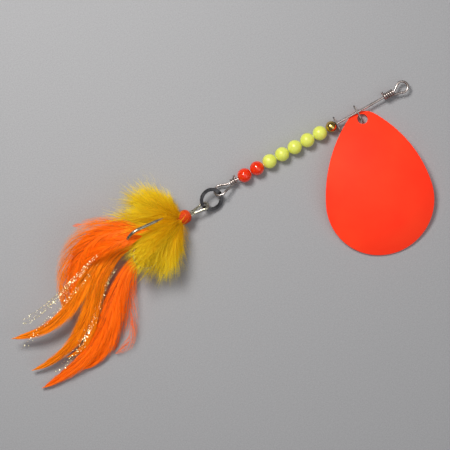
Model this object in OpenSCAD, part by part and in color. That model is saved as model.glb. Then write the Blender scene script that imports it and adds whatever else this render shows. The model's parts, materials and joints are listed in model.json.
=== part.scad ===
// Inline spinner lure: wire shaft, blade on a clevis, beads, split ring and a dressed treble hook.
// X runs along the shaft toward the line tie, Z is up, the blade lies on the -Y side.
// The origin is the centre of the line-tie eye. All sizes in millimetres.

/* [Shaft] */
// diameter of the shaft wire
wire_d = 1.3; // [1.1:0.05:1.35]
// centre-line radius of the line-tie eye
front_eye_r = 3.1; // [2.6:0.1:3.4]
// turns of wire behind the line-tie eye
front_turns = 5; // [3:1:5]
// turns of wire ahead of the rear loop
rear_turns = 3; // [2:1:3]

/* [Blade] */
// blade length
blade_len = 82; // [80:0.5:83]
// blade width
blade_w = 60.7; // [59:0.1:62]
// radius of the domed face
dome_r = 75; // [70:1:85]
// sheet thickness
blade_t = 0.9; // [0.6:0.1:1]
// hole the clevis passes through
blade_hole_d = 5.9; // [5.7:0.1:6.2]

/* [Clevis] */
// wire diameter of the stirrup
clevis_wire_d = 1.2; // [1:0.1:1.2]
// thickness of the flattened ears
ear_t = 0.7; // [0.5:0.1:0.8]
// distance between the two ears
ear_gap = 13.2; // [12.8:0.1:13.4]

/* [Beads] */
// diameter of the plastic beads
bead_d = 8; // [7:0.1:8]
// spacing of the plastic beads along the wire
bead_pitch = 8.06; // [8.02:0.01:8.1]
// diameter of the metal bearing bead
bearing_d = 6.35; // [5:0.05:6.35]
// radial running clearance on the wire
run_clear = 0.09; // [0.05:0.01:0.1]

/* [Hook] */
// wire diameter of the hook
hook_d = 1.7; // [1.4:0.1:1.8]
// distance from the shank to each spear
gape = 15.5; // [14:0.5:15.5]
// diameter of the painted thread head
head_d = 6.8; // [6:0.1:7.2]

/* [Hidden] */
$fn = 64;
wr = wire_d / 2;
hr = hook_d / 2;
cr = clevis_wire_d / 2;
bore_r = wr + run_clear;

// wire wraps and the loop at the rear end
wrap_r = 2 * wr + 0.07;
wrap_pitch = wire_d - 0.06;
wrap_lean = 7;
front_neck_x = -5.4;
front_wrap_x = -6.3;
rear_wrap_x = -109.6;
rear_neck_x = -111.3;
rear_eye = [-117.2, -0.9];
rear_eye_r = 3.3;
rear_tilt = -34.8;

// stack on the shaft, from the clevis back
front_ear_x = -28.9;
rear_ear_x = front_ear_x - ear_gap;
bearing_x = -45.65;
bead_x = -52.95;
clevis_tilt = 1;

// blade placed by its tip, its long axis swept back
blade_tip = [-26.85, -0.3];
blade_turn = -107.4;
blade_tip_z = -2.1;
blade_pitch = 0.55;
dome_tip_r = sqrt(dome_r * dome_r - blade_len * blade_len / 4);
tip_r = 10.77 * blade_w / 60.7;
end_r = 30.35 * blade_w / 60.7;
side_r = 76;
// centre of the side arcs, tangent to the end circles
span = blade_len - tip_r - end_r;
side_a = (pow(side_r - tip_r, 2) - pow(side_r - end_r, 2) + span * span) / (2 * span);
side_b = sqrt(pow(side_r - tip_r, 2) - side_a * side_a);
hole_at = 4.6;

// split ring hanging in the rear loop
ring_at = [-123.97, -2.8, 0.67];
ring_rot = [26.5, 6.85, 0];
ring_r = 5.85;
coil_w = 1.75;
coil_t = 0.7;

// hook frame: eye centre, nose-down pitch, roll of the eye
hook_at = [-129.54, -4.08, 0.76];
hook_pitch = 12.3;
eye_roll = -38.8;
hook_eye_r = 2.35;
eye_wire_r = 0.72;
shank_len = 41.2;
// how far each shank sits off the axis, toward its own arm
pair_off = hr * 1.09;
single_off = sqrt(pow(2 * hr + 0.01, 2) - 0.75 * pair_off * pair_off) - pair_off / 2;
spear_end = [-30.5, gape - 1.85];
point_at = [-25.6, gape - 2.7];
top_roll = -22;
low_roll = [98, -142];

// straight round bar between two points
module rod(p, q, r) {
    d = q - p;
    translate(p)
        rotate([0, acos(d[2] / norm(d)), atan2(d[1], d[0])])
            cylinder(h = norm(d), r = r);
}

// part of a ring in the XY plane, from angle a0 over da degrees
module arc_bar(big, r, a0, da) {
    rotate([0, 0, a0])
        rotate_extrude(angle = da)
            translate([big, 0]) circle(r);
}

function unit(v) = v / norm(v);
function ring_of(c, u, v, a, b, n) =
    [for (k = [0 : n - 1]) c + u * a * cos(360 * k / n) + v * b * sin(360 * k / n)];

// closed skin over a list of rings with n points each
module skin(rings, n) {
    m = len(rings);
    pts = [for (r = rings) for (p = r) p];
    sides = [for (i = [0 : m - 2]) for (k = [0 : n - 1])
        [i * n + k, i * n + (k + 1) % n, (i + 1) * n + (k + 1) % n, (i + 1) * n + k]];
    first = [for (k = [n - 1 : -1 : 0]) k];
    last = [for (k = [0 : n - 1]) (m - 1) * n + k];
    polyhedron(points = pts, faces = concat([first], sides, [last]), convexity = 6);
}

// close turns of wire around the X axis, leaning like a coil, with a cut end
module wraps(x0, turns, x_dir) {
    for (i = [0 : turns - 1])
        translate([x0 + x_dir * wrap_pitch * i, 0, 0])
            rotate([0, 90, 0])
                rotate([wrap_lean * x_dir, 0, 0])
                    rotate_extrude() translate([wrap_r, 0]) circle(wr);
    end = [x0 + x_dir * wrap_pitch * (turns - 1), wrap_r, 0];
    rod(end, end + [0.5 * x_dir, 1.5, 0.4], wr - 0.04);
}

// wire eye in the XY plane: a bent arc and two legs, one to the neck, one to the wraps
module eye(c, big, neck, back) {
    d = neck - c;
    half = acos(big / norm(d));
    mid = atan2(d[1], d[0]);
    t1 = c + big * [cos(mid + half), sin(mid + half)];
    t2 = c + big * [cos(mid - half), sin(mid - half)];
    translate([c[0], c[1], 0]) arc_bar(big, wr, mid + half, 360 - 2 * half);
    rod([t1[0], t1[1], 0], [neck[0], neck[1], 0], wr - 0.01);
    rod([t2[0], t2[1], 0], back, wr - 0.01);
    for (p = [[t1[0], t1[1], 0], [t2[0], t2[1], 0], [neck[0], neck[1], 0], back])
        translate(p) sphere(wr + 0.03);
}

module shaft_wire() {
    color("Silver") {
        translate([rear_neck_x, 0, 0]) rotate([0, 90, 0]) cylinder(h = front_neck_x - rear_neck_x, r = wr);
        mirror([1, 0, 0])
            eye([0, 0], front_eye_r, [-front_neck_x, 0], [-front_wrap_x, -wrap_r, 0]);
        wraps(front_wrap_x, front_turns, -1);
        rotate([rear_tilt, 0, 0])
            eye(rear_eye, rear_eye_r, [rear_neck_x, 0],
                [rear_wrap_x, -wrap_r * cos(rear_tilt), wrap_r * sin(rear_tilt)]);
        wraps(rear_wrap_x, rear_turns, 1);
    }
}

// flattened ear with its neck, drawn in the YZ plane and centred on x = 0
module clevis_ear() {
    rotate([90, 0, 90])
        translate([0, 0, -ear_t / 2])
            linear_extrude(ear_t)
                difference() {
                    union() {
                        circle(1.3);
                        translate([0, -1.3]) square([2.9, 2.6]);
                        translate([2.9, 0]) circle(1.3);
                        polygon([[-0.4, -1.23], [-2.3, -cr], [-3.6, -cr],
                                 [-3.6, cr], [-2.3, cr], [-0.4, 1.23]]);
                    }
                    circle(bore_r);
                }
}

module clevis() {
    mid_x = (front_ear_x + rear_ear_x) / 2;
    color("Silver")
        rotate([clevis_tilt, 0, 0]) {
            translate([front_ear_x, 0, 0]) clevis_ear();
            translate([rear_ear_x, 0, 0]) clevis_ear();
            for (x = [front_ear_x, rear_ear_x])
                rod([x, -2.4, 0], [x, -3.5, 0], cr);
            translate([mid_x, -3.5, 0]) arc_bar(ear_gap / 2, cr, 180, 180);
        }
}

// egg-shaped outline with its tip at the origin and its length along +X
module blade_outline() {
    translate([tip_r, 0]) circle(tip_r, $fn = 128);
    translate([blade_len - end_r, 0]) circle(end_r, $fn = 192);
    intersection() {
        translate([tip_r + side_a, -side_b]) circle(side_r, $fn = 360);
        translate([tip_r + side_a, side_b]) circle(side_r, $fn = 360);
        x0 = tip_r - tip_r * side_a / (side_r - tip_r);
        x1 = blade_len - end_r + end_r * (span - side_a) / (side_r - end_r);
        translate([x0, -40]) square([x1 - x0, 80]);
    }
}

module blade() {
    color("OrangeRed")
        translate([blade_tip[0], blade_tip[1], blade_tip_z])
            rotate([0, 0, blade_turn])
                rotate([0, blade_pitch, 0])
                    difference() {
                        intersection() {
                            translate([0, 0, -5]) linear_extrude(30) blade_outline();
                            translate([blade_len / 2, 0, -dome_tip_r]) sphere(dome_r, $fn = 180);
                        }
                        translate([blade_len / 2, 0, -dome_tip_r]) sphere(dome_r - blade_t, $fn = 180);
                        translate([hole_at, 0, -20]) cylinder(h = 50, d = blade_hole_d);
                    }
}

// round bead threaded on the shaft
module bead(x, d) {
    translate([x, 0, 0])
        rotate([0, 90, 0])
            difference() {
                sphere(d = d, $fn = 96);
                cylinder(h = d + 2, r = bore_r, center = true);
            }
}

module bearing_bead() {
    color("Gold") bead(bearing_x, bearing_d);
}

module chartreuse_bead_1() {
    color("GreenYellow") bead(bead_x, bead_d);
}

module chartreuse_bead_2() {
    color("GreenYellow") bead(bead_x - bead_pitch, bead_d);
}

module chartreuse_bead_3() {
    color("GreenYellow") bead(bead_x - 2 * bead_pitch, bead_d);
}

module chartreuse_bead_4() {
    color("GreenYellow") bead(bead_x - 3 * bead_pitch, bead_d);
}

module chartreuse_bead_5() {
    color("GreenYellow") bead(bead_x - 4 * bead_pitch, bead_d);
}

module red_bead_1() {
    color("Tomato") bead(bead_x - 5 * bead_pitch, bead_d);
}

module red_bead_2() {
    color("Tomato") bead(bead_x - 6 * bead_pitch, bead_d);
}

// two flat coils side by side, each open at one slit, joined by a thin core
module split_ring() {
    color("DimGray")
        translate(ring_at)
            rotate(ring_rot) {
                for (s = [-1, 1])
                    difference() {
                        translate([0, 0, s * (coil_t / 2 + 0.02)])
                            rotate_extrude()
                                translate([ring_r, 0])
                                    coil_section();
                        rotate([0, 0, 160 + s * 16])
                            translate([ring_r, 0, s * (coil_t / 2 + 0.12)])
                                cube([4, 0.35, coil_t], center = true);
                    }
                rotate_extrude()
                    translate([ring_r - coil_w / 2 + 0.2, -0.1]) square([coil_w - 0.4, 0.2]);
            }
}

module coil_section() {
    square([coil_w - 0.3, coil_t], center = true);
    for (s = [-1, 1])
        translate([s * (coil_w - 0.3) / 2, 0]) circle(0.15);
    square([coil_w, coil_t - 0.3], center = true);
}

// places a child drawn with the shank along -X in the lure's frame
module at_hook() {
    translate(hook_at) rotate([0, hook_pitch, 0]) children();
}

// shank, bend, spear, point and barb in the XZ plane, opening toward +Z
module hook_arm(off, from_x) {
    bend = (gape - off) / 2;
    rod([from_x, 0, off], [-shank_len, 0, off], hr);
    translate([-shank_len, 0, off + bend])
        rotate([90, 0, 0])
            arc_bar(bend, hr, 90, 180);
    p = [-shank_len, 0, gape];
    q = [spear_end[0], 0, spear_end[1]];
    e = [point_at[0], 0, point_at[1]];
    rod(p, q, hr);
    translate(p) sphere(hr);
    translate(q) sphere(hr);
    d = e - q;
    translate(q)
        rotate([0, acos(d[2] / norm(d)), 0])
            cylinder(h = norm(d), r1 = hr, r2 = 0.12);
    translate(q + d * 0.22)
        rotate([0, -118, 0])
            cylinder(h = 3, r1 = 0.62, r2 = 0.1);
}

// wire bent into the eye, its two ends running back as the two lower hooks
module treble_pair() {
    leg = 130;
    color("LightGray")
        at_hook() {
            rotate([eye_roll, 0, 0]) arc_bar(hook_eye_r, eye_wire_r, -leg, 2 * leg);
            for (k = [0, 1]) {
                side = k == 0 ? -1 : 1;
                y = side * hook_eye_r * sin(leg);
                a = [hook_eye_r * cos(leg), y * cos(eye_roll), y * sin(eye_roll)];
                b = [-6.6, -pair_off * sin(low_roll[k]), pair_off * cos(low_roll[k])];
                rod(a, b, eye_wire_r - 0.02);
                translate(a) sphere(eye_wire_r + 0.03);
                rotate([low_roll[k], 0, 0]) hook_arm(pair_off, -6.6);
            }
        }
}

// third hook lying along the shanks of the other two
module treble_single() {
    color("LightGray")
        at_hook()
            rotate([top_roll, 0, 0]) {
                hook_arm(single_off, -9);
                translate([-9, 0, single_off]) sphere(hr);
            }
}

// clearance around the three shanks
module shanks(gap) {
    at_hook() {
        rod([-4, 0, 0], [-shank_len - 2, 0, 0], 0.6);
        for (a = low_roll)
            rotate([a, 0, 0])
                rod([-4, 0, pair_off], [-shank_len - 2, 0, pair_off], hr + gap);
        rotate([top_roll, 0, 0])
            rod([-7, 0, single_off], [-shank_len - 2, 0, single_off], hr + gap);
    }
}

// thread wound over the shanks, tapering to the rear
module thread_base() {
    color("OrangeRed")
        difference() {
            at_hook()
                translate([-16.4, 0, 0])
                    rotate([0, -90, 0])
                        cylinder(h = 18, r1 = 3, r2 = 2.8);
            shanks(0.03);
        }
}

// rounded wound head painted over the tie
module thread_head() {
    color("OrangeRed")
        difference() {
            at_hook()
                translate([-12.8, 0, 0])
                    rotate([0, 90, 0])
                        rotate_extrude()
                            polygon([for (i = [0 : 14])
                                let (t = -1 + i / 7)
                                [i == 0 || i == 14 ? 0 : head_d / 2 * pow(1 - t * t * t * t, 0.5), t * 3.6]]);
            shanks(0.03);
        }
}

// soft plume: a drop-shaped body along +X, cut flat on its inner side
module plume(yaw, plume_len, fat, side) {
    difference() {
        intersection() {
            at_hook()
                translate([-14.5, 0, 0])
                    rotate([0, 4, yaw])
                        rotate([0, -90, 0])
                            rotate_extrude()
                                polygon([for (i = [0 : 16])
                                    let (t = i / 16)
                                    [fat * pow(sin(180 * pow(t, 0.75)), 0.8), plume_len * t]]);
            translate([-230, side > 0 ? -4.45 : -54.6, -3.9]) cube([100, 50, 22]);
        }
        at_hook() rotate([0, -90, 0]) cylinder(h = 60, r = 3.5);
        translate([-200, -8.6, 1.4]) cube([48, 8.2, 13]);
        at_hook() translate([-12.8, 0, 0]) sphere(4.5);
    }
}

module marabou_left() {
    color("Goldenrod") plume(-44, 41, 17, 1);
}

module marabou_right() {
    color("Goldenrod") plume(38, 42, 13.5, -1);
}

function bez(p, t) = pow(1 - t, 3) * p[0] + 3 * t * pow(1 - t, 2) * p[1]
    + 3 * t * t * (1 - t) * p[2] + pow(t, 3) * p[3];
function bez_dir(p, t) = unit(pow(1 - t, 2) * (p[1] - p[0]) + 2 * t * (1 - t) * (p[2] - p[1])
    + t * t * (p[3] - p[2]));

// long flat feather along a smooth curve through four control points
module feather(p, w, th, root) {
    n = 12;
    m = 14;
    skin([for (i = [0 : m])
        let (t = i / m,
             d = bez_dir(p, t),
             u = unit([-d[1], d[0], 0]),
             v = cross(d, u),
             full = root + (1 - root) * pow(sin(min(90, 170 * t)), 1.2),
             tip = pow(max(0, 1 - pow(t, 4)), 0.6))
        ring_of(bez(p, t), u, v, max(0.35, w / 2 * full * tip),
                max(0.25, th / 2 * min(1, 0.5 + t * 3) * (0.35 + 0.65 * tip)), n)], n);
}

module hackle_orange_top() {
    color("DarkOrange")
        feather([[-160, -3, 13], [-183, 15, 21], [-201, 13, 13.5], [-217, -11, 9]], 12.5, 1.5, 0.3);
}

module hackle_amber_left() {
    color("Orange")
        feather([[-162, -4, 11], [-207, 13, 13], [-210, -34, 9], [-257, -16.9, 5.5]], 9.5, 1.4, 0.25);
}

module hackle_amber_mid() {
    color("Orange")
        feather([[-162, -6, 10], [-210, 6, 12], [-210, -44.5, 6], [-257.3, -37.6, 0]], 8, 1.5, 0.25);
}

module hackle_orange_low() {
    color("OrangeRed")
        feather([[-166, -7, 5], [-206, -14, 5], [-201.5, -50, 3], [-257, -49, -2.2]], 13, 1.6, 0.25);
}

module hackle_orange_side() {
    color("Orange")
        feather([[-167, -8, 2.2], [-187, -17, 1], [-199, -40, -1.6], [-213.5, -50, -3]], 7, 1.0, 0.25);
}

module hackle_orange_short() {
    color("Orange")
        feather([[-164, 2, 8], [-176, 12, 8.5], [-187, 17.5, 9], [-198, 21.5, 8.5]], 6, 1.0, 0.3);
}

module flash_top() {
    color("Khaki")
        feather([[-182, 2, 17], [-204, 1, 17.5], [-226, -14, 13], [-250, -12, 7.5]], 4, 0.8, 0.35);
}

module flash_low() {
    color("Khaki")
        feather([[-184, -9, 8], [-208, -16, 8], [-216, -41, 3.5], [-248, -45.5, 0.6]], 4, 0.8, 0.35);
}

shaft_wire();
clevis();
blade();
bearing_bead();
chartreuse_bead_1();
chartreuse_bead_2();
chartreuse_bead_3();
chartreuse_bead_4();
chartreuse_bead_5();
red_bead_1();
red_bead_2();
split_ring();
treble_pair();
treble_single();
thread_base();
thread_head();
marabou_left();
marabou_right();
hackle_orange_top();
hackle_amber_left();
hackle_amber_mid();
hackle_orange_low();
hackle_orange_side();
hackle_orange_short();
flash_top();
flash_low();
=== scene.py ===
import json
import math

import bpy
import numpy as np
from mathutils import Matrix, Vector


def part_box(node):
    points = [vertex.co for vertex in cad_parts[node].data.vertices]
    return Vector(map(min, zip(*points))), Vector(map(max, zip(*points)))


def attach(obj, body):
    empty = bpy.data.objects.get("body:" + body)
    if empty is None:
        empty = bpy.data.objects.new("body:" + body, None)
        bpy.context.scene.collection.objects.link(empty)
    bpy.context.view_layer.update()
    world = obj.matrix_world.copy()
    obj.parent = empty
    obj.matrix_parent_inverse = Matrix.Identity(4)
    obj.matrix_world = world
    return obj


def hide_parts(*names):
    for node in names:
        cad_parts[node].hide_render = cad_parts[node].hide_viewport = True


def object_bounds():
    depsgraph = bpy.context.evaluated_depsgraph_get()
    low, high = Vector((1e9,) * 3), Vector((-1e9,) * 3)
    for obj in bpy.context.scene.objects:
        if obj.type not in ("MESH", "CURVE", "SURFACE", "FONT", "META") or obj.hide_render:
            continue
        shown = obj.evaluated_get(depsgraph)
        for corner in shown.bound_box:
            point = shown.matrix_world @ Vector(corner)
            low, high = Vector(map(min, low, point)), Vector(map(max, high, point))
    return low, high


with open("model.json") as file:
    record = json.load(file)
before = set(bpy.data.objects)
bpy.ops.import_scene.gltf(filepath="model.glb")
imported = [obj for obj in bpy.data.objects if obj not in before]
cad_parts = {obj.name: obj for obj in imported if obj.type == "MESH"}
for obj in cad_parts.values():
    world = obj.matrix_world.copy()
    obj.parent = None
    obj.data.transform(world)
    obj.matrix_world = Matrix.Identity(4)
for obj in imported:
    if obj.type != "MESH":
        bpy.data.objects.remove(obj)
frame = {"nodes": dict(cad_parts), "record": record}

MM = 0.001
rest_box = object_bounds()
REST_Z = rest_box[0][2]                   # height of the surface the lure lies on
UP = np.array([0.0, 0.0, 1.0])

# camera: straight down, turned about the view axis
ROLL = math.radians(29.2)
AIM = Vector((-124.4, -19.0, 0)) * MM     # point at the middle of the frame
CAMERA_HEIGHT = 0.60
SENSOR_MM = 36
FRAME_PX = 450
MM_PER_PX = 0.56                          # scale of the object in a 450 x 450 frame

rng = np.random.default_rng(11)
scene = bpy.context.scene
SLOT_OF = {s["node"]: s["material_slot"] for s in frame["record"]["subparts"]}
MATS = {}


# ---------------------------------------------------------------- materials

def new_material(name):
    """A material with one principled shader, kept in MATS under its name."""
    mat = bpy.data.materials.new(name)
    mat.use_nodes = True
    tree = mat.node_tree
    tree.nodes.clear()
    out = tree.nodes.new("ShaderNodeOutputMaterial")
    bsdf = tree.nodes.new("ShaderNodeBsdfPrincipled")
    tree.links.new(bsdf.outputs[0], out.inputs["Surface"])
    MATS[name] = mat
    return tree, bsdf


def link(tree, a, b):
    tree.links.new(a, b)


def set_inputs(bsdf, settings):
    for socket, value in settings.items():
        bsdf.inputs[socket].default_value = value


def coords(tree, scale=(1, 1, 1)):
    """Object coordinates, stretched by scale."""
    source = tree.nodes.new("ShaderNodeTexCoord")
    mapping = tree.nodes.new("ShaderNodeMapping")
    mapping.inputs["Scale"].default_value = scale
    link(tree, source.outputs["Object"], mapping.inputs["Vector"])
    return mapping.outputs["Vector"]


def noise(tree, vec, scale, detail=4.0, rough=0.55, distortion=0.0):
    n = tree.nodes.new("ShaderNodeTexNoise")
    n.inputs["Scale"].default_value = scale
    n.inputs["Detail"].default_value = detail
    n.inputs["Roughness"].default_value = rough
    n.inputs["Distortion"].default_value = distortion
    link(tree, vec, n.inputs["Vector"])
    return n.outputs["Fac"]


def ramp(tree, fac, stops):
    r = tree.nodes.new("ShaderNodeValToRGB")
    elements = r.color_ramp.elements
    while len(elements) < len(stops):
        elements.new(0.5)
    for element, (position, colour) in zip(elements, stops):
        element.position = position
        element.color = (*colour, 1)
    link(tree, fac, r.inputs["Fac"])
    return r.outputs["Color"]


def scalar(tree, fac, lo, hi, a=0.0, b=1.0):
    """Map fac from a..b to lo..hi, held at both ends."""
    m = tree.nodes.new("ShaderNodeMapRange")
    m.inputs["From Min"].default_value = a
    m.inputs["From Max"].default_value = b
    m.inputs["To Min"].default_value = lo
    m.inputs["To Max"].default_value = hi
    link(tree, fac, m.inputs["Value"])
    return m.outputs["Result"]


def mix(tree, fac, a, b, kind="MIX"):
    """Colour mix; each input is a socket, a number or a colour."""
    m = tree.nodes.new("ShaderNodeMix")
    m.data_type = "RGBA"
    m.blend_type = kind
    for socket, value in ((m.inputs[0], fac), (m.inputs[6], a), (m.inputs[7], b)):
        if isinstance(value, (int, float)):
            socket.default_value = value
        elif isinstance(value, tuple):
            socket.default_value = (*value, 1)
        else:
            link(tree, value, socket)
    return m.outputs[2]


def bump(tree, bsdf, height, strength, distance):
    b = tree.nodes.new("ShaderNodeBump")
    b.inputs["Strength"].default_value = strength
    b.inputs["Distance"].default_value = distance
    link(tree, height, b.inputs["Height"])
    link(tree, b.outputs["Normal"], bsdf.inputs["Normal"])


def attribute(tree, name):
    a = tree.nodes.new("ShaderNodeAttribute")
    a.attribute_name = name
    return a.outputs["Fac"]


def add_painted_glow(tree, bsdf, base, strength):
    """Base colour, and the same colour given back faintly as painted glow, which lights the part up though it
    is no lamp.
    """
    link(tree, base, bsdf.inputs["Base Color"])
    link(tree, base, bsdf.inputs["Emission Color"])
    bsdf.inputs["Emission Strength"].default_value = strength


def metal(name, dark, light, rough_lo, rough_hi, stretch, scale, bump_mm, stain):
    """Bare or plated metal: drawn or polished grain, roughness variation and faint staining."""
    tree, bsdf = new_material(name)
    grain = noise(tree, coords(tree, stretch), scale, 3.0)
    patches = noise(tree, coords(tree), 160.0, 5.0, 0.6, 0.4)
    base = ramp(tree, patches, [(0.3, dark), (0.62, light)])
    spots = noise(tree, coords(tree), 432.0, 6.0, 0.7, 0.8)
    base = mix(tree, scalar(tree, spots, 0.0, 0.55, 0.58, 0.74), base, stain)
    link(tree, base, bsdf.inputs["Base Color"])
    bsdf.inputs["Metallic"].default_value = 1.0
    link(tree, scalar(tree, grain, rough_lo, rough_hi, 0.3, 0.7), bsdf.inputs["Roughness"])
    bump(tree, bsdf, grain, 0.35, bump_mm * MM)


def make_metals():
    metal("shaft_steel", (0.27, 0.225, 0.205), (0.52, 0.455, 0.425), 0.22, 0.36,
          (0.06, 1, 1), 2600.0, 0.002, (0.22, 0.18, 0.155))
    metal("clevis_steel", (0.13, 0.11, 0.10), (0.29, 0.255, 0.235), 0.18, 0.34,
          (1, 1, 1), 2400.0, 0.002, (0.07, 0.052, 0.045))
    metal("bearing_brass", (0.50, 0.30, 0.06), (0.80, 0.55, 0.16), 0.09, 0.20,
          (1, 1, 1), 1800.0, 0.003, (0.38, 0.22, 0.05))
    metal("ring_steel", (0.030, 0.029, 0.030), (0.105, 0.10, 0.10), 0.12, 0.24,
          (1, 1, 1), 2600.0, 0.004, (0.03, 0.028, 0.027))
    metal("hook_tin", (0.38, 0.345, 0.24), (0.66, 0.62, 0.49), 0.18, 0.34,
          (0.25, 1, 1), 2400.0, 0.002, (0.24, 0.21, 0.13))


def make_blade_paint():
    """Satin fluorescent powder coat with faint orange peel and darker specks."""
    tree, bsdf = new_material("blade_paint")
    fine = noise(tree, coords(tree), 2600.0, 2.0)
    broad = noise(tree, coords(tree), 38.0, 3.0, 0.5, 0.3)
    base = ramp(tree, broad, [(0.30, (0.92, 0.032, 0.009)), (0.72, (0.94, 0.046, 0.012))])
    specks = noise(tree, coords(tree), 900.0, 2.0, 0.6)
    base = mix(tree, scalar(tree, specks, 0.0, 0.35, 0.66, 0.78), base, (0.72, 0.022, 0.006))
    # painted glow: the paint gives back its own colour as light, to make the blade look brighter
    add_painted_glow(tree, bsdf, base, 0.26)
    link(tree, scalar(tree, fine, 0.58, 0.72), bsdf.inputs["Roughness"])
    bsdf.inputs["Specular IOR Level"].default_value = 0.15
    bump(tree, bsdf, fine, 0.25, 0.02 * MM)


def make_plastics():
    # opaque fluorescent beads
    tree, bsdf = new_material("chartreuse_plastic")
    swirl = noise(tree, coords(tree), 210.0, 4.0, 0.5, 1.2)
    base = ramp(tree, swirl, [(0.3, (0.60, 0.645, 0.085)), (0.7, (0.67, 0.70, 0.13))])
    # painted glow: the beads give back their own colour as light, to look brighter
    add_painted_glow(tree, bsdf, base, 0.16)
    scuff = noise(tree, coords(tree), 1500.0, 5.0, 0.65)
    link(tree, scalar(tree, scuff, 0.22, 0.42, 0.35, 0.7), bsdf.inputs["Roughness"])
    set_inputs(bsdf, {"Subsurface Weight": 0.25, "Subsurface Radius": (1.0, 0.9, 0.15),
                      "Subsurface Scale": 1.2 * MM})
    bump(tree, bsdf, scuff, 0.12, 0.02 * MM)

    # clear fluorescent red-orange beads
    tree, bsdf = new_material("red_plastic")
    cloud = noise(tree, coords(tree), 260.0, 3.0, 0.5, 0.8)
    base = ramp(tree, cloud, [(0.3, (0.72, 0.022, 0.001)), (0.7, (0.80, 0.045, 0.003))])
    # painted glow: the beads give back their own colour as light, to look brighter
    add_painted_glow(tree, bsdf, base, 0.12)
    scratch = noise(tree, coords(tree), 1800.0, 4.0, 0.6)
    link(tree, scalar(tree, scratch, 0.05, 0.16, 0.4, 0.7), bsdf.inputs["Roughness"])
    set_inputs(bsdf, {"Transmission Weight": 0.12, "IOR": 1.5, "Subsurface Weight": 0.5,
                      "Subsurface Radius": (1.0, 0.18, 0.05), "Subsurface Scale": 2.5 * MM,
                      "Coat Weight": 0.35, "Coat Roughness": 0.03})
    bump(tree, bsdf, scratch, 0.05, 0.006 * MM)


def make_threads():
    """Tying thread, bare and under lacquer."""
    for name, coat, rough in (("thread", 0.0, 0.62), ("head_lacquer", 0.12, 0.48)):
        tree, bsdf = new_material(name)
        fibre = noise(tree, coords(tree), 1700.0, 5.0, 0.6)
        base = ramp(tree, fibre, [(0.28, (0.46, 0.030, 0.001)), (0.55, (0.70, 0.058, 0.002)),
                                  (0.8, (0.80, 0.13, 0.006))])
        # painted glow: the thread gives back its own colour faintly as light
        add_painted_glow(tree, bsdf, base, 0.05)
        link(tree, scalar(tree, fibre, rough - 0.08, rough + 0.1), bsdf.inputs["Roughness"])
        set_inputs(bsdf, {"Coat Weight": coat, "Coat Roughness": 0.12, "Specular IOR Level": 0.25})
        bump(tree, bsdf, fibre, 0.2, 0.03 * MM)


def fibre_material(name, stops, deep, painted_glow):
    """Feather barbs: colour runs along each strand and varies from strand to strand, and the last argument
    makes it glow faintly as painted light.
    """
    tree, bsdf = new_material(name)
    along, tint = attribute(tree, "along"), attribute(tree, "tint")
    base = ramp(tree, along, stops)
    base = mix(tree, scalar(tree, tint, 0.0, 0.9, 0.48, 0.85), base, deep)
    light = ramp(tree, tint, [(0.0, (1.25, 1.25, 1.2)), (0.45, (1.0, 1.0, 1.0)),
                              (1.0, (0.82, 0.78, 0.7))])
    base = mix(tree, 1.0, base, light, "MULTIPLY")
    patch = noise(tree, coords(tree), 130.0, 4.0, 0.6, 0.5)
    base = mix(tree, scalar(tree, patch, 0.0, 0.28, 0.55, 0.8), base, deep)
    # painted glow: the barbs give back their colour as light, to look brighter
    add_painted_glow(tree, bsdf, base, painted_glow)
    streak = noise(tree, coords(tree), 1600.0, 3.0)
    link(tree, scalar(tree, streak, 0.42, 0.66), bsdf.inputs["Roughness"])
    bsdf.inputs["Specular IOR Level"].default_value = 0.16
    bump(tree, bsdf, streak, 0.15, 0.02 * MM)


def make_fibres():
    # the last number of each is the strength of its painted glow
    fibre_material("marabou_yellow",
                   [(0.0, (0.60, 0.265, 0.002)), (0.4, (0.78, 0.45, 0.004)), (1.0, (0.84, 0.68, 0.022))],
                   (0.27, 0.19, 0.003), 0.08)
    fibre_material("hackle_orange",
                   [(0.0, (0.78, 0.095, 0.001)), (0.5, (0.86, 0.140, 0.001)), (1.0, (0.88, 0.165, 0.002))],
                   (0.40, 0.036, 0.001), 0.12)
    fibre_material("hackle_amber",
                   [(0.0, (0.66, 0.115, 0.001)), (0.5, (0.84, 0.205, 0.001)), (1.0, (0.88, 0.26, 0.002))],
                   (0.28, 0.060, 0.002), 0.12)


def make_tinsel():
    """Crinkled tinsel: near-mirror gold with a faint green and pink play, and painted glints: the brightest
    points are coloured near white and made to glow.
    """
    tree, bsdf = new_material("flash_tinsel")
    tint = attribute(tree, "tint")
    vec = coords(tree)
    play = noise(tree, vec, 700.0, 2.0, 0.5, 1.5)
    # the top two stops are painted glints: the brightest points are coloured near white
    gold = ramp(tree, tint, [(0.0, (0.26, 0.15, 0.03)), (0.7, (0.60, 0.40, 0.09)),
                             (PAINTED_GLINT, (1.0, 0.90, 0.50)), (1.0, (1.0, 1.0, 0.92))])
    hue = ramp(tree, play, [(0.25, (0.98, 0.80, 0.70)), (0.5, (0.95, 0.96, 0.80)),
                            (0.75, (0.70, 0.98, 0.82))])
    base = mix(tree, 0.55, gold, hue, "MULTIPLY")
    add_painted_glow(tree, bsdf, base, 0.0)
    # painted glints: the points with the highest tint glow
    link(tree, scalar(tree, tint, 0.0, 2.6, 0.84, 0.97), bsdf.inputs["Emission Strength"])
    bsdf.inputs["Metallic"].default_value = 0.8
    link(tree, scalar(tree, play, 0.24, 0.40), bsdf.inputs["Roughness"])
    bump(tree, bsdf, noise(tree, vec, 2500.0, 2.0), 0.2, 0.01 * MM)


# ---------------------------------------------------------------- geometry tools

def unit(v):
    return v / np.maximum(np.linalg.norm(v, axis=-1, keepdims=True), 1e-12)


def centre(node):
    lo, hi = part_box(node)
    return (np.array(lo) + np.array(hi)) / 2


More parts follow.
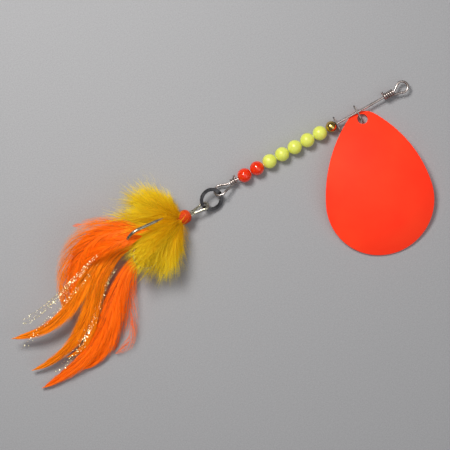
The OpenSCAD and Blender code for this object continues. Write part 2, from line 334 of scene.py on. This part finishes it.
def mesh_object(name, verts, quads, body, slot_name, node=None, attrs=None):
    """A smooth mesh that rides a body, and stands for a CAD node where one is named."""
    me = bpy.data.meshes.new(name)
    verts = np.asarray(verts, dtype=np.float32)
    quads = np.asarray(quads, dtype=np.int32)
    me.vertices.add(len(verts))
    me.vertices.foreach_set("co", verts.ravel())
    me.loops.add(quads.size)
    me.loops.foreach_set("vertex_index", quads.ravel())
    me.polygons.add(len(quads))
    me.polygons.foreach_set("loop_start", np.arange(0, quads.size, 4, dtype=np.int32))
    me.polygons.foreach_set("loop_total", np.full(len(quads), 4, dtype=np.int32))
    me.update(calc_edges=True)
    me.polygons.foreach_set("use_smooth", np.ones(len(quads), dtype=bool))
    for key, per_point in (attrs or {}).items():
        a = me.attributes.new(key, "FLOAT", "POINT")
        a.data.foreach_set("value", np.asarray(per_point, dtype=np.float32).ravel())
    me.materials.append(MATS[slot_name])
    ob = bpy.data.objects.new(name, me)
    scene.collection.objects.link(ob)
    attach(ob, body)
    if node:
        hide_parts(node)
    return ob


class Strands:
    """Collects flat strands and round skins into one mesh, with two numbers at each point:
    along, from root to tip, and tint, which varies from strand to strand."""

    def __init__(self):
        self.verts, self.quads, self.along, self.tint, self.count = [], [], [], [], 0

    def append(self, verts, quads, along, tint):
        self.verts.append(verts)
        self.quads.append(quads + self.count)
        self.along.append(along)
        self.tint.append(tint)
        self.count += len(verts)

    def add(self, path, side, half, along, tint):
        """Flat strands: path and side are (n, steps, 3), half and along (n, steps), and tint
        (n,) or (n, steps)."""
        n, steps, _ = path.shape
        edges = np.stack([path - side * half[..., None], path + side * half[..., None]], axis=2)
        i = np.arange(n)[:, None] * (2 * steps) + np.arange(steps - 1)[None, :] * 2
        quads = np.stack([i, i + 1, i + 3, i + 2], axis=-1).reshape(-1, 4)
        tint = np.broadcast_to(tint[:, None] if tint.ndim == 1 else tint, (n, steps))
        self.append(edges.reshape(-1, 3), quads,
                    np.repeat(along[..., None], 2, axis=2).reshape(-1),
                    np.repeat(tint[..., None], 2, axis=2).reshape(-1))

    def add_skin(self, verts, quads, along, tint):
        self.append(verts, quads, np.full(len(verts), along), np.full(len(verts), tint))

    def build(self, name, slot_name, node=None):
        attrs = {"along": np.concatenate(self.along), "tint": np.concatenate(self.tint)}
        return mesh_object(name, np.concatenate(self.verts), np.concatenate(self.quads), "hook",
                           slot_name, node, attrs)


def skin_quads(rings, sides):
    """Quads between rings of points, each ring closed on itself."""
    i = np.arange(rings - 1)[:, None] * sides
    j = np.arange(sides)[None, :]
    after = (j + 1) % sides
    return np.stack([i + j, i + after, i + sides + after, i + sides + j], axis=-1).reshape(-1, 4)


def tube(path, radii, sides):
    """Round skin along a path (steps, 3) with radii (steps,): vertices and quads."""
    d = unit(np.gradient(path, axis=0))
    ref = UP if abs(d[0][2]) < 0.9 else np.array([1.0, 0.0, 0.0])
    u = unit(np.cross(ref, d[0]))
    turn = np.arange(sides) * 2 * math.pi / sides
    verts = []
    for k in range(len(path)):
        u = unit(u - d[k] * np.dot(u, d[k]))
        w = np.cross(d[k], u)
        verts.append(path[k] + radii[k] * (np.cos(turn)[:, None] * u + np.sin(turn)[:, None] * w))
    return np.concatenate(verts), skin_quads(len(path), sides)


def bez(p, t):
    t = np.asarray(t)[..., None]
    return ((1 - t) ** 3 * p[0] + 3 * t * (1 - t) ** 2 * p[1]
            + 3 * t * t * (1 - t) * p[2] + t ** 3 * p[3])


def bez_frame(p, t):
    """Direction along the curve, the level direction across it, and their cross product."""
    t = np.asarray(t)[..., None]
    d = unit((1 - t) ** 2 * (p[1] - p[0]) + 2 * t * (1 - t) * (p[2] - p[1]) + t * t * (p[3] - p[2]))
    u = unit(np.stack([-d[..., 1], d[..., 0], 0 * d[..., 0]], axis=-1))
    return d, u, np.cross(d, u)


def curl_field(x, seed):
    """Smooth pseudo-random vector per position, for wavy fibres."""
    r = np.random.default_rng(seed)
    out = np.zeros_like(x)
    for k in range(5):
        w = r.normal(0, 1, (3, 3)) * (110 + 90 * k)
        phase = r.uniform(0, 6.28, 3)
        out += np.sin(x @ w + phase) / (1 + 0.6 * k)
    return out


# ---------------------------------------------------------------- hackle feathers

# centre curve of each feather and tinsel bundle, inside its CAD solid: four control points in mm
CURVES = {
    "hackle_orange_top": [(-160, -3, 13), (-183, 15, 21), (-201, 13, 13.5), (-217, -11, 9)],
    "hackle_amber_left": [(-162, -4, 11), (-207, 13, 13), (-210, -34, 9), (-257, -16.9, 5.5)],
    "hackle_amber_mid": [(-162, -6, 10), (-210, 6, 12), (-210, -44.5, 6), (-257.3, -37.6, 0)],
    "hackle_orange_low": [(-166, -7, 5), (-203.5, -16, 5), (-201.5, -50.5, 3), (-257, -49, -2.2)],
    "hackle_orange_side": [(-167, -8, 2.2), (-187, -17, 1), (-199, -40, -1.6), (-213.5, -50, -3)],
    "hackle_orange_short": [(-164, 2, 8), (-176, 12, 8.5), (-187, 17.5, 9), (-198, 21.5, 8.5)],
    "flash_top": [(-182, 2, 17), (-204, 1, 17.5), (-226, -14, 13), (-250, -12, 7.5)],
    "flash_fork": [(-190, 0, 17), (-216, -16, 15.5), (-236, -15, 10.5), (-257, -26, 7)],
    "flash_low": [(-184, -9, 8), (-208, -16, 8), (-216, -41, 3.5), (-248, -45.5, 0.6)],
}

# each feather's width in mm, root width as a share of it, number of barbs, share of stray barbs,
# and the companion feathers that lie against it: the moves in mm of the second, third and last
# control points, and of the root where there is a fourth
HACKLES = {
    "hackle_orange_top": (12.5, 0.3, 1500, 0.05, [((2, -5, -3.5), (3, -6, -1.5), (2, 2, 0.0)),
                                                  ((-2, 1, -2.5), (-2, 1, -1.5), (-2, -5, -1.0)),
                                                  ((10, -15, 5), (16, -9, 7.5), (12, 10, 3), (-7, 0.5, 3))]),
    "hackle_amber_left": (9.5, 0.25, 1400, 0.08, [((0, -1, -0.8), (-2, 0, -0.8), (4, -0.3, -0.8)),
                                                  ((0, 2, 0.5), (-3, 2, 0.5), (3, -0.4, 0.4))]),
    "hackle_amber_mid": (8, 0.25, 1400, 0.08, [((0, 1, 0.6), (-1, 0.5, 0.6), (14, 1, 0.5)),
                                               ((1, -1.5, -0.8), (1.5, -1, -0.8), (20, -3, -0.4))]),
    "hackle_orange_low": (12, 0.25, 1700, 0.06, [((-1, 2, 0.8), (-3, 4, 0.7), (10, 2, 0.5)),
                                                 ((1, -1, -0.5), (1, -1, -0.3), (24, -2, -0.1))]),
    "hackle_orange_side": (7, 0.25, 130, 0.6, []),
    "hackle_orange_short": (6, 0.3, 170, 0.85, []),
}
COMPANION_WIDTH = 0.72
COMPANION_STRAY = 0.12
HACKLE_THICK_MM = 1.2

# loose barbs round the feathers, amber ones at the top and orange ones along the low side:
# the node they belong to, the curve they follow and its moves, width in mm, number of barbs
HAZES = {
    "amber_haze": ("hackle_amber_left", "hackle_orange_top",
                   ((-1.5, 4.5, -4), (-5.5, 4.5, -4), (-8, -6, -2)), 15, 700),
    "orange_haze": ("hackle_orange_side", "hackle_orange_low",
                    ((6, -3, -1), (9, -5, -1.5), (44, -3, 0.5)), 8, 120),
}


def shifted(p, d1, d2, d3, root=(0, 0, 0)):
    return [np.asarray(c, float) + d for c, d in zip(p, (root, d1, d2, d3))]


def feather_width(t, root):
    """Share of the full width at t: root wide at the start, full in the middle, none at the tip."""
    full = root + (1 - root) * np.power(np.sin(np.radians(np.minimum(90, 170 * np.maximum(t, 0)))), 1.2)
    tip = np.power(np.maximum(0, 1 - np.power(np.clip(t, 0, 1), 4)), 0.6)
    return full * tip


def hackle(strands, p, width, thick, root, count, stray, reach=0.24, half_mm=0.15, spread=1.0):
    """One saddle hackle: barbs leave the quill in clumps and sweep toward the tip on both sides.

    Returns the quill's skin."""
    p = np.asarray(p, float) * MM
    steps, clumps, cup_mm = 8, 11, 0.8
    q = np.linspace(0, 1, steps)[None, :]                       # along each barb

    # where each barb leaves the quill, on which side, and how far along it sweeps
    t0 = np.power(rng.uniform(0.0, 1.0, count), 0.92)[:, None] * 0.98 - 0.03
    side = np.where(rng.uniform(size=count) < 0.5, -1.0, 1.0)[:, None]
    span = reach * (1.05 - 0.55 * t0) * rng.uniform(0.7, 1.25, (count, 1))
    t = t0 + span * q

    # barbs of one clump end close together; stray ones stand out on their own
    loose = rng.uniform(size=(count, 1)) < stray
    clump = rng.integers(0, clumps, (count, 1))
    key = clump + np.where(side > 0, 0, clumps)
    shift = rng.uniform(-0.6, 0.6, 2 * clumps)[key] + 0.5 * np.sin(t0 * 9.0 + key * 2.1)
    tight = (clump + 0.5 + 0.5 * shift) / clumps + rng.normal(0, 0.022, (count, 1))
    amp = np.where(loose, rng.uniform(0.9, 1.4, (count, 1)), 0.10 + 0.94 * tight) * spread
    lat = side * amp * np.power(q, 0.75) * feather_width(t, root) * width / 2 * MM

    # barbs near the tip run on past the end of the quill
    tt = np.clip(t, 0, 1)
    d, u, v = bez_frame(p, tt)
    over = np.clip(t - 1, 0, 1)[..., None] * np.linalg.norm(p[3] - p[2]) * 0.35
    wave = np.sin(q * 5.0 + rng.uniform(0, 6.28, (count, 1))) * rng.uniform(0.0, 0.3, (count, 1)) * MM * q

    # each clump has its own level, and the edges of the feather cup downwards
    level = rng.normal(0, 0.42, 2 * clumps)[key]
    lift = ((level + rng.normal(0, 0.16, (count, 1))) * thick * MM * (0.3 + 0.7 * q)
            - cup_mm * MM * np.square(amp * q) * rng.uniform(0.4, 1.2, (count, 1)))
    path = bez(p, tt) + d * over + u * (lat + wave)[..., None] + v * lift[..., None]
    path[..., 2] = np.maximum(path[..., 2], REST_Z + 0.2 * MM)

    # flat side of each barb, rolled a little about its length
    tan = unit(np.gradient(path, axis=1))
    roll = rng.normal(0, 0.35, (count, 1, 1)) + side[..., None] * 0.25
    flat = unit(np.cross(v, tan))
    wide = flat * np.cos(roll) + np.cross(tan, flat) * np.sin(roll)
    half = (half_mm * MM * np.where(loose, 0.45, 1.0) * (1.0 - 0.86 * np.power(q, 1.6))
            * rng.uniform(0.7, 1.2, (count, 1)))
    tone = rng.beta(1.5, 2.4, 2 * clumps)[key[:, 0]]
    tint = np.clip(0.50 * tone + 0.50 * rng.beta(1.1, 2.0, count), 0, 1)
    strands.add(path, wide, half, np.broadcast_to(0.25 + 0.75 * q, t.shape), tint)

    s = np.linspace(0, 0.97, 40)
    return tube(bez(p, s), (0.32 - 0.27 * s) * MM, 6)


def build_hackles():
    for node, (width, root, count, stray, companions) in HACKLES.items():
        p = CURVES[node]
        st = Strands()
        half_mm = 0.15 if companions else 0.10
        quills = [hackle(st, p, width, HACKLE_THICK_MM, root, count, stray, half_mm=half_mm)]
        for moves in companions:
            quills.append(hackle(st, shifted(p, *moves), width * COMPANION_WIDTH, HACKLE_THICK_MM, root,
                                 count // 2, COMPANION_STRAY))
        for verts, quads in quills:
            st.add_skin(verts, quads, 0.9, 0.15)
        st.build(node + "_barbs", SLOT_OF[node], node)
    for name, (node, like, moves, width, count) in HAZES.items():
        st = Strands()
        hackle(st, shifted(CURVES[like], *moves), width, 2 * HACKLE_THICK_MM, 0.3, count, 0.8,
               reach=0.34, half_mm=0.13, spread=0.95)
        st.build(name, SLOT_OF[node], node)


# ---------------------------------------------------------------- marabou and tinsel

STEMS = 52              # stems in one marabou plume
BARBS = 290             # barbs on one stem
BARB_STEPS = 7
BARB_CLUMPS = 14
WILD_SHARE = 0.09       # barbs that stand out further than the rest


def marabou(node, sign, head, axis, fan, seed):
    """A plume of down: soft stems fan out from the tie, each carrying fine wavy barbs.

    fan lists (angle from the shank in degrees, reach in mm) round the edge of the plume."""
    r = np.random.default_rng(seed)
    floor_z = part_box(node)[0][2] + 0.15 * MM
    st = Strands()
    out = unit(np.cross(UP, axis)) * -sign
    angles, reaches = zip(*fan)
    q = np.linspace(0, 1, BARB_STEPS)[None, :]
    s = q[..., None]
    n = BARBS
    for i in range(STEMS):
        # the stem: a curve that leaves the tie near the shank's line and opens to its own angle
        yaw_deg = angles[0] + (angles[-1] - angles[0]) * (i + r.uniform(0, 1)) / STEMS
        yaw = math.radians(yaw_deg)
        edge = np.interp(yaw_deg, angles, reaches) * MM
        layer = r.uniform(0, 1)
        pitch = math.radians(-14 + 44 * layer)
        flat = axis * math.cos(yaw) + out * math.sin(yaw)
        early = axis * math.cos(yaw * 0.7) + out * math.sin(yaw * 0.7)
        reach = edge * r.uniform(0.42, 0.80)
        p0 = head + axis * 1.2 * MM + flat * 1.8 * MM + UP * (2.6 * MM * (2 * layer - 0.8))
        p1 = p0 + unit(early + UP * math.sin(pitch) * 1.25) * reach * 0.38
        p2 = p1 + unit(flat + UP * math.sin(pitch) * 0.5) * reach * 0.32
        p3 = p2 + unit(flat + axis * 0.15 - UP * 0.10) * reach * 0.32
        p = np.array([p0, p1, p2, p3])

        # its barbs: they leave in clumps all round the stem and bend toward the plume's edge
        t0 = r.uniform(0.0, 1.0, (n, 1))
        base = bez(p, t0[:, 0])
        d, u, v = bez_frame(p, t0[:, 0])
        clump = r.integers(0, BARB_CLUMPS, (n, 1))
        phi = clump * 2.4 + r.normal(0, 0.20, (n, 1))
        radial = u * np.cos(phi) + v * np.sin(phi)
        leave = np.radians(r.uniform(10, 40, BARB_CLUMPS)[clump] + r.normal(0, 4, (n, 1)))
        wild = r.uniform(size=(n, 1)) < WILD_SHARE
        leave = np.where(wild, leave + 0.7, leave)
        length_mm = np.where(wild, r.uniform(11.0, 17.0, (n, 1)), r.uniform(6.0, 12.5, (n, 1)))
        length = length_mm * MM * (0.65 + 0.5 * t0) * (0.45 + 0.55 * min(1, edge / (34 * MM)))
        start = unit(d * np.cos(leave) + radial * np.sin(leave))[:, None, :]
        finish = unit(d * 1.3 + radial * 0.35 + flat * 0.3)[:, None, :]
        bend = 0.45 * s * s
        path = base[:, None, :] + (start * (s - bend) + finish * bend) * length[..., None]
        path = path + curl_field(path + i * 0.0007, 40 + i % 3) * (0.55 * MM) * s

        # barbs that would go under the surface are pressed up against it
        low = path[..., 2] < floor_z
        path[..., 2] = np.where(low, floor_z + (path[..., 2] - floor_z) * -0.25, path[..., 2])
        tan = unit(np.gradient(path, axis=1))
        wide = unit(np.cross(tan, unit(r.normal(0, 1, (n, 1, 3)))))
        half = (0.075 * MM * (1.0 - 0.80 * np.power(q, 1.3)) * r.uniform(0.6, 1.3, (n, 1))
                * np.where(wild, 0.55, 1.0))
        tone = r.beta(1.4, 2.2)
        tint = np.clip(0.55 * tone + 0.45 * r.beta(1.6, 3.0, n), 0, 1)
        st.add(path, wide, half, np.clip(t0 * 0.55 + q * 0.45, 0, 1), tint)
        along = np.linspace(0, 1, 22)
        st.add_skin(*tube(bez(p, along), (0.20 - 0.15 * along) * MM, 5), 0.15, 0.5)
    st.build(node + "_down", SLOT_OF[node], node)


PAINTED_GLINT = 0.88            # a tinsel point with a tint above this gets a painted glint: near-white colour, glow and a wider facet


def flash(name, node, p, count, spread, seed):
    """A bundle of twisted, crinkled tinsel strands following one curve."""
    r = np.random.default_rng(seed)
    p = np.asarray(p, float) * MM
    st = Strands()
    steps = 150
    for i in range(count):
        end = r.uniform(0.5, 1.0) if i > count // 3 else r.uniform(0.9, 1.0)
        t = np.linspace(r.uniform(0.0, 0.4), end, steps)[None, :]
        _, u, v = bez_frame(p, t)
        lat = r.normal(0, 1) * spread * MM * np.power(t, 0.8) + r.normal(0, 0.5) * MM
        lift = r.normal(0, 0.5) * MM + np.abs(r.normal(0, 0.8)) * MM * t
        path = bez(p, t) + u * lat[..., None] + v * lift[..., None]
        path = path + curl_field(path + i * 0.003, 90 + i) * 0.35 * MM * t[..., None]
        path[..., 2] = np.maximum(path[..., 2], REST_Z + 0.3 * MM)
        tan = unit(np.gradient(path, axis=1))
        twist = np.cumsum(r.normal(0.75, 0.9, (1, steps)), axis=1)[..., None]
        a = unit(np.cross(tan, UP))
        wide = a * np.cos(twist) + np.cross(tan, a) * np.sin(twist)
        # painted glints: the points drawn above the glint mark get wider facets, which the tinsel material
        # colours near white and makes glow
        painted_glint = r.uniform(0, 1, (1, steps))
        half = r.uniform(0.08, 0.11) * MM * np.where(painted_glint > PAINTED_GLINT, 2.6, 0.38)
        st.add(path, wide, half, t, painted_glint)
    ob = st.build(name, SLOT_OF[node], node)
    ob.data.polygons.foreach_set("use_smooth", np.zeros(len(ob.data.polygons), dtype=bool))


# ---------------------------------------------------------------- thread work

HEAD_HALF = 3.8 * MM    # half length of the thread head
head_c, base_c = centre("thread_head"), centre("thread_base")
shank = unit(base_c - head_c)
head_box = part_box("thread_head")
head_r = (head_box[1][1] - head_box[0][1]) / 2
CORE_RINGS, CORE_SIDES = 24, 40


def head_radius(x):
    """Radius of the egg-shaped head at x along the shank from its middle."""
    t = np.clip(x / HEAD_HALF, -1, 1)
    return (head_r + 0.25 * MM) * np.sqrt(np.maximum(0.02, 1 - np.abs(t) ** 2.6))


def base_radius(x):
    return 2.3 * MM + 0 * x


def winding(name, node, origin, axis, radius_at, x0, x1, pitch_mm, thread_mm, slot_name, crossing=()):
    """Thread wound as a fine helix over a core, from x0 to x1 along axis (metres from origin).

    crossing lists wraps that lie over it: first and last angle, first and last place along the
    axis in mm."""
    up = unit(np.cross(axis, np.array([0.0, 1.0, 0.0])))
    across = np.cross(axis, up)
    thread = thread_mm * MM

    def around(x, angle, radius):
        out = np.cos(angle)[:, None] * up + np.sin(angle)[:, None] * across
        return origin + axis * x[:, None] + out * radius[:, None]

    turns = abs(x1 - x0) / (pitch_mm * MM)
    steps = int(turns * 26)
    s = np.linspace(0, 1, steps)
    x = x0 + (x1 - x0) * s
    wobble = np.convolve(rng.normal(0, 0.03, steps) * MM, np.ones(9) / 9, "same")
    helix = around(x, 2 * math.pi * turns * s, radius_at(x) + thread * 0.35 + wobble)
    parts = [tube(helix, np.full(steps, thread / 2), 6)]

    cx = x0 + (x1 - x0) * np.linspace(0, 1, CORE_RINGS)
    cr = np.maximum(radius_at(cx), 0.02 * MM)
    angle = np.arange(CORE_SIDES) * 2 * math.pi / CORE_SIDES
    ring = np.cos(angle)[:, None] * up + np.sin(angle)[:, None] * across
    core = origin + axis * cx[:, None, None] + ring[None] * cr[:, None, None]
    parts.append((core.reshape(-1, 3), skin_quads(CORE_RINGS, CORE_SIDES)))

    s = np.linspace(0, 1, 40)
    for a0, a1, start_mm, end_mm in crossing:
        x = (start_mm + (end_mm - start_mm) * s) * MM
        wrap = around(x, a0 + (a1 - a0) * s, radius_at(x) + thread * 0.9)
        parts.append(tube(wrap, np.full(40, thread * 0.55), 6))

    starts = np.cumsum([0] + [len(verts) for verts, _ in parts[:-1]])
    mesh_object(name, np.concatenate([verts for verts, _ in parts]),
                np.concatenate([quads + n for (_, quads), n in zip(parts, starts)]),
                "hook", slot_name, node)


def head_loose_fibres():
    """Three stray marabou barbs bound down over the head."""
    st = Strands()
    steps = 24
    q = np.linspace(0, 1, steps)
    level = unit(np.cross(UP, shank))
    for a0, a1, reach_mm in ((1.15, 2.0, 3.4), (0.5, 1.3, 3.0), (2.1, 2.9, 3.2)):
        x = (1.0 - 2.1 * q) * reach_mm * MM
        turn = a0 + (a1 - a0) * q
        across = np.cos(turn)[:, None] * level + np.sin(turn)[:, None] * UP
        path = head_c + shank * x[:, None] + across * (head_radius(x) + 0.42 * MM)[:, None]
        wide = unit(np.cross(unit(np.gradient(path, axis=0)), across))
        half = 0.10 * MM * (1.1 - q)
        st.add(path[None], wide[None], half[None], 0.5 + 0.5 * q[None], np.full((1, steps), 0.05))
    st.build("head_loose_fibres", "marabou_yellow")


# ---------------------------------------------------------------- build

make_metals()
make_blade_paint()
make_plastics()
make_threads()
make_fibres()
make_tinsel()
for node, ob in frame["nodes"].items():
    ob.data.materials.clear()
    ob.data.materials.append(MATS[SLOT_OF[node]])

winding("thread_head_wraps", "thread_head", head_c, shank, head_radius, -HEAD_HALF * 0.985, HEAD_HALF * 0.985,
        0.26, 0.28, "head_lacquer", [(1.2, 4.4, -2.9, 2.6), (3.6, 0.9, -2.6, 2.9), (5.2, 8.0, -2.4, 2.8)])
base_half = np.linalg.norm(base_c - head_c) - HEAD_HALF
winding("thread_base_wraps", "thread_base", base_c, shank, base_radius, -base_half, 9.0 * MM,
        0.34, 0.34, "thread")

build_hackles()
marabou("marabou_left", 1, head_c, shank,
        [(0, 36), (34, 42), (44, 37), (60, 34), (71, 31), (81, 22), (90, 12)], 5)
marabou("marabou_right", -1, head_c, shank,
        [(0, 40), (16, 41), (26, 42), (39, 37), (57, 33), (62, 22)], 6)
head_loose_fibres()
flash("flash_top_strands", "flash_top", CURVES["flash_top"], 16, 1.5, 21)
flash("flash_fork_strands", "flash_top", CURVES["flash_fork"], 6, 0.8, 23)
flash("flash_low_strands", "flash_low", CURVES["flash_low"], 14, 1.5, 22)


# ---------------------------------------------------------------- stage, light, camera

def make_floor():
    bpy.ops.mesh.primitive_plane_add(size=4.0, location=(-0.12, -0.02, REST_Z - 0.05 * MM))
    floor = bpy.context.object
    floor.name = "floor"
    tree, bsdf = new_material("floor_grey")
    grit = noise(tree, coords(tree), 1500.0, 3.0, 0.6)
    grey = ramp(tree, grit, [(0.3, (0.31, 0.31, 0.32)), (0.7, (0.39, 0.39, 0.40))])
    link(tree, grey, bsdf.inputs["Base Color"])
    bsdf.inputs["Roughness"].default_value = 0.85
    bump(tree, bsdf, grit, 0.5, 0.12 * MM)
    floor.data.materials.append(MATS["floor_grey"])


def area(name, offset, size, power, color):
    """A square area light, offset (right, up the frame, height) in metres from the aim point."""
    data = bpy.data.lights.new(name, "AREA")
    data.shape = "RECTANGLE"
    data.size = data.size_y = size
    data.energy = power
    data.color = color
    ob = bpy.data.objects.new(name, data)
    right = Vector((math.cos(ROLL), -math.sin(ROLL), 0))
    up = Vector((math.sin(ROLL), math.cos(ROLL), 0))
    ob.location = AIM + right * offset[0] + up * offset[1] + Vector((0, 0, offset[2]))
    ob.rotation_euler = (AIM - ob.location).to_track_quat("-Z", "Y").to_euler()
    scene.collection.objects.link(ob)


def make_world():
    """Dim grey room with a soft bright ceiling straight above."""
    world = bpy.data.worlds.new("studio")
    world.use_nodes = True
    tree = world.node_tree
    background = tree.nodes["Background"]
    source = tree.nodes.new("ShaderNodeTexCoord")
    split = tree.nodes.new("ShaderNodeSeparateXYZ")
    link(tree, source.outputs["Generated"], split.inputs[0])
    shade = ramp(tree, split.outputs["Z"], [(0.0, (0.20, 0.20, 0.21)), (0.92, (0.42, 0.43, 0.45)),
                                            (0.955, (3.2, 3.15, 3.1))])
    link(tree, shade, background.inputs["Color"])
    background.inputs["Strength"].default_value = 0.42
    scene.world = world


def make_camera():
    data = bpy.data.cameras.new("camera")
    data.sensor_width = SENSOR_MM
    data.lens = SENSOR_MM * CAMERA_HEIGHT / (MM_PER_PX * FRAME_PX * MM)
    data.dof.use_dof = False
    data.clip_start = 0.01
    cam = bpy.data.objects.new("camera", data)
    cam.location = AIM + Vector((0, 0, CAMERA_HEIGHT))
    cam.rotation_euler = (0, 0, -ROLL)
    scene.collection.objects.link(cam)
    scene.camera = cam
    scene.view_settings.view_transform = "Standard"


make_floor()
area("key", (-0.20, 0.28, 0.54), 0.20, 3.7, (1.0, 0.985, 0.96))
area("fill", (0.6, -0.3, 0.7), 0.6, 1.2, (0.92, 0.95, 1.0))
make_world()
make_camera()
